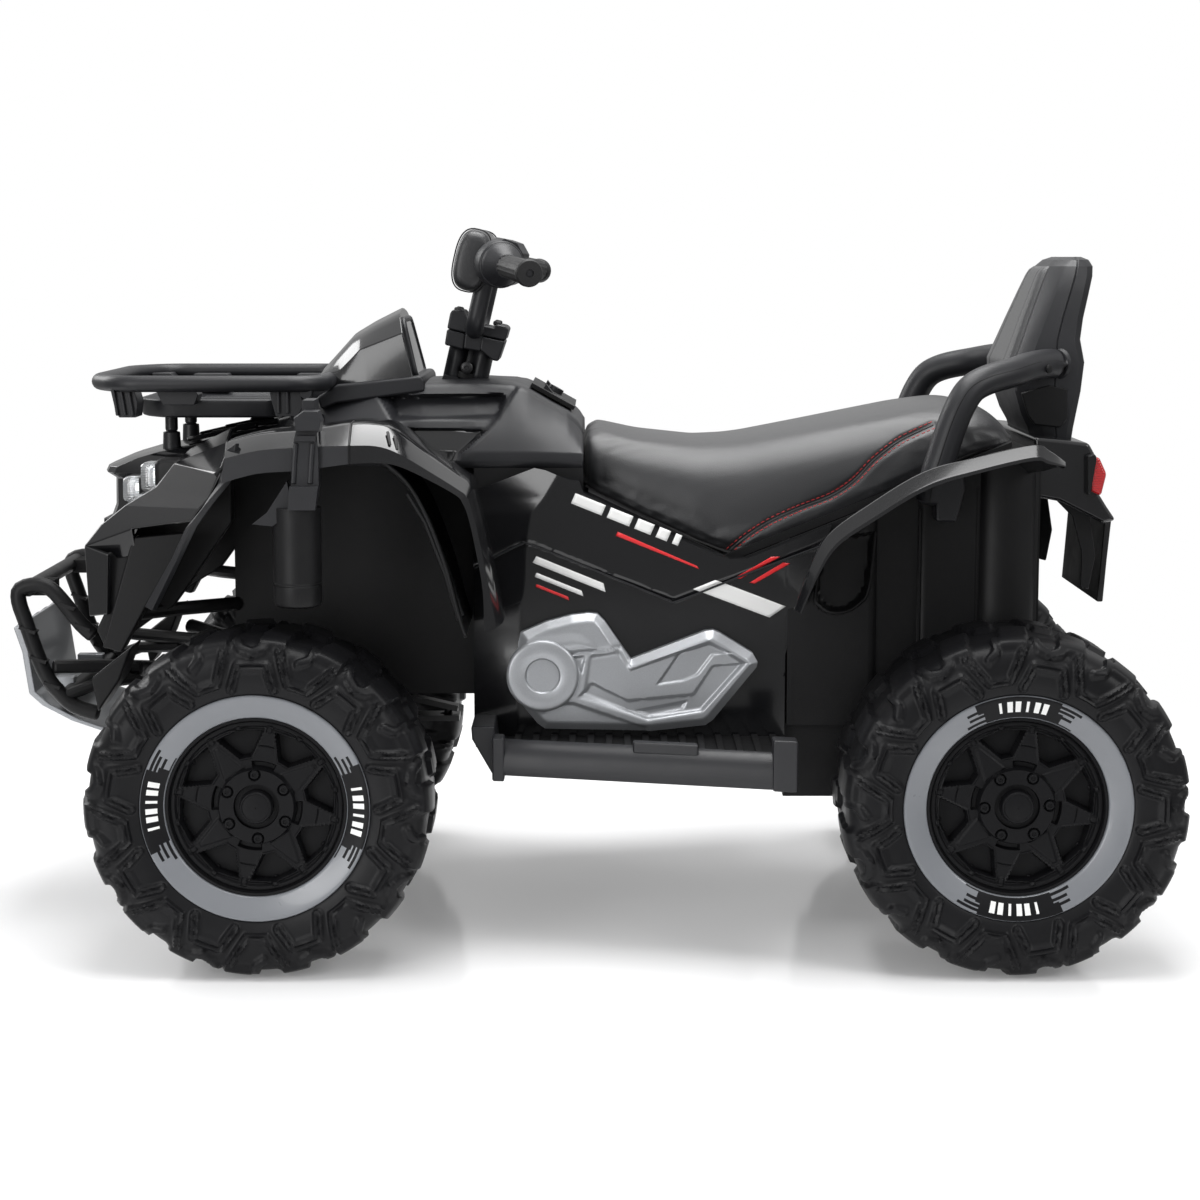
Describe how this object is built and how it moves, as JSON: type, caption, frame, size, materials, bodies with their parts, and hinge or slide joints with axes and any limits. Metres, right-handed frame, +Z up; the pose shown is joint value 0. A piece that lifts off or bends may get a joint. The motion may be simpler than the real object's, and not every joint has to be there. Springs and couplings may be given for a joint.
{
  "type": "kids quad bike",
  "caption": "Child's ride-on electric quad bike with cleated wheels, steering handlebar, front rack, bumper, long seat that lifts, backrest with armrests, and footboards.",
  "frame": {"origin": "on the ground, under the middle of the whole bike", "axes": "+X to the rear of the bike, +Y to the rider's right, +Z up; the front faces -X"},
  "size_m": [1.15, 0.67, 0.7093],
  "materials": {
    "gloss_black": "gloss moulded plastic",
    "satin_charcoal": "satin moulded plastic",
    "matte_black": "matt moulded plastic",
    "tyre_black": "matt, with cleated tread",
    "ring_grey": "satin",
    "satin_silver": "satin metallic paint",
    "skid_grey": "satin metallic paint",
    "seat_leather": "soft black leathercloth with red stitching",
    "clear_lens": "clear polished lens",
    "red_lens": "red translucent lens",
    "smoked_screen": "smoked clear screen",
    "black_steel": "black powder coat",
    "bare_steel": "zinc plated",
    "soft_rubber": "ribbed soft rubber",
    "button_red": "gloss"
  },
  "bodies": {
    "chassis": {"front_fenders": "gloss_black", "nose_cowl": "gloss_black", "side_panels": "gloss_black", "rear_fenders": "gloss_black", "tail_panel": "gloss_black", "upper_cowl": "satin_charcoal", "dash_cowl": "satin_charcoal", "backrest_shell": "satin_charcoal", "armrests": "satin_charcoal", "front_rack": "satin_charcoal", "canisters": "satin_charcoal", "front_guards": "satin_charcoal", "chassis_tub": "matte_black", "gearboxes": "matte_black", "mud_flap": "matte_black", "footboards": "matte_black", "step_rails": "matte_black", "control_plate": "matte_black", "column_bushes": "matte_black", "battery": "matte_black", "control_box": "matte_black", "front_bumper": "matte_black", "engine_covers": "satin_silver", "skid_plate": "skid_grey", "backrest_pad": "seat_leather", "headlights": "clear_lens", "tail_lamps": "red_lens", "dash_screen": "smoked_screen", "front_axle_beam": "black_steel", "motors": "black_steel", "rear_axle": "bare_steel"},
    "steering": {"steering_shaft": "bare_steel", "column_cover": "satin_charcoal", "bar_clamp": "matte_black", "clamp_bolts": "bare_steel", "handlebar": "black_steel", "grips": "soft_rubber", "switch_housings": "matte_black", "bar_pad": "matte_black"},
    "knuckle_left": {"steering_knuckle_left": "black_steel"},
    "knuckle_right": {"steering_knuckle_right": "black_steel"},
    "link": {"steering_link": "black_steel"},
    "seat": {"seat_pan": "black_steel", "seat_cushion": "seat_leather"},
    "pedal": {"accelerator_pedal": "matte_black"},
    "start_button": {"power_button": "button_red"},
    "direction_switch": {"direction_rocker": "matte_black"},
    "speed_switch": {"speed_rocker": "matte_black"},
    "wheel_front_left": {"tyre_front_left": "tyre_black", "rim_front_left": "matte_black", "trim_ring_front_left": "ring_grey"},
    "wheel_front_right": {"tyre_front_right": "tyre_black", "rim_front_right": "matte_black", "trim_ring_front_right": "ring_grey"},
    "wheel_rear_left": {"tyre_rear_left": "tyre_black", "rim_rear_left": "matte_black", "trim_ring_rear_left": "ring_grey"},
    "wheel_rear_right": {"tyre_rear_right": "tyre_black", "rim_rear_right": "matte_black", "trim_ring_rear_right": "ring_grey"}
  },
  "joints": [
    {"name": "steer", "type": "hinge", "parent": "chassis", "child": "steering", "pos_m": [-0.121, 0, 0.552], "axis": [0.225, 0, 0.9744], "range_deg": [-20, 20]},
    {"name": "knuckle_left_turn", "type": "hinge", "parent": "chassis", "child": "knuckle_left", "pos_m": [-0.304, -0.165, 0.165], "axis": [0, 0, 1], "range_deg": [-20, 20]},
    {"name": "knuckle_right_turn", "type": "hinge", "parent": "chassis", "child": "knuckle_right", "pos_m": [-0.304, 0.165, 0.165], "axis": [0, 0, 1], "range_deg": [-20, 20]},
    {"name": "link_pivot", "type": "hinge", "parent": "knuckle_left", "child": "link", "pos_m": [-0.244, -0.165, 0.1946], "axis": [0, 0, 1], "range_deg": [-20, 20]},
    {"name": "wheel_front_left_spin", "type": "hinge", "parent": "knuckle_left", "child": "wheel_front_left", "pos_m": [-0.304, -0.26, 0.165], "axis": [0, 1, 0], "continuous": true},
    {"name": "wheel_front_right_spin", "type": "hinge", "parent": "knuckle_right", "child": "wheel_front_right", "pos_m": [-0.304, 0.26, 0.165], "axis": [0, 1, 0], "continuous": true},
    {"name": "wheel_rear_left_spin", "type": "hinge", "parent": "chassis", "child": "wheel_rear_left", "pos_m": [0.41, -0.26, 0.165], "axis": [0, 1, 0], "continuous": true},
    {"name": "wheel_rear_right_spin", "type": "hinge", "parent": "chassis", "child": "wheel_rear_right", "pos_m": [0.41, 0.26, 0.165], "axis": [0, 1, 0], "continuous": true},
    {"name": "seat_lift", "type": "hinge", "parent": "chassis", "child": "seat", "pos_m": [0.007, 0, 0.505], "axis": [0, -1, 0], "range_deg": [0, 60]},
    {"name": "pedal_press", "type": "hinge", "parent": "chassis", "child": "pedal", "pos_m": [0.036, 0.218, 0.219], "axis": [0, -1, 0], "range_deg": [0, 12], "stiffness_Nm_per_rad": 1, "springref_deg": -11.46},
    {"name": "start_press", "type": "slide", "parent": "chassis", "child": "start_button", "axis": [-0.4845, 0, -0.8748], "range_m": [0, 0.002], "stiffness_N_per_m": 400, "springref_m": -0.001},
    {"name": "direction_rock", "type": "hinge", "parent": "chassis", "child": "direction_switch", "pos_m": [-0.02905, -0.039, 0.53662], "axis": [0, 1, 0], "range_deg": [-8, 8]},
    {"name": "speed_rock", "type": "hinge", "parent": "chassis", "child": "speed_switch", "pos_m": [-0.02905, 0.039, 0.53662], "axis": [0, 1, 0], "range_deg": [-8, 8]}
  ],
  "couplings": [
    {"joint": "knuckle_left_turn", "follows": "steer", "ratio": 1},
    {"joint": "knuckle_right_turn", "follows": "steer", "ratio": 1},
    {"joint": "link_pivot", "follows": "steer", "ratio": -1}
  ]
}
